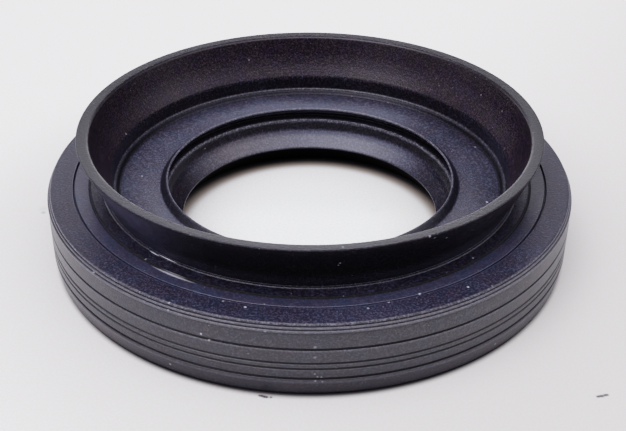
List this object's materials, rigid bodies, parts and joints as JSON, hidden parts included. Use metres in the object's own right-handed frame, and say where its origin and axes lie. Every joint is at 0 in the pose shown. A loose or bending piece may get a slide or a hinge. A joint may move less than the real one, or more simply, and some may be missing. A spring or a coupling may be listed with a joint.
{
  "type": "shaft seal",
  "caption": "Round rubber shaft seal with a ribbed press fit wall, a flared side lip, dust lips and a spring loaded sealing lip round its bore.",
  "frame": {"origin": "centre of the oil side face, where the seal's axis meets the surface that it rests on", "axes": "+Z along the seal's axis, from the oil side up to the flared side lip; +X and +Y are level and alike, because the seal is round"},
  "size_m": [0.068, 0.068, 0.0165],
  "materials": {
    "moulded_rubber": "matt moulded nitrile rubber, dusty",
    "spring_steel": "bright drawn wire"
  },
  "bodies": {
    "root": {"seal_body": "moulded_rubber", "garter_spring": "spring_steel"}
  },
  "joints": []
}
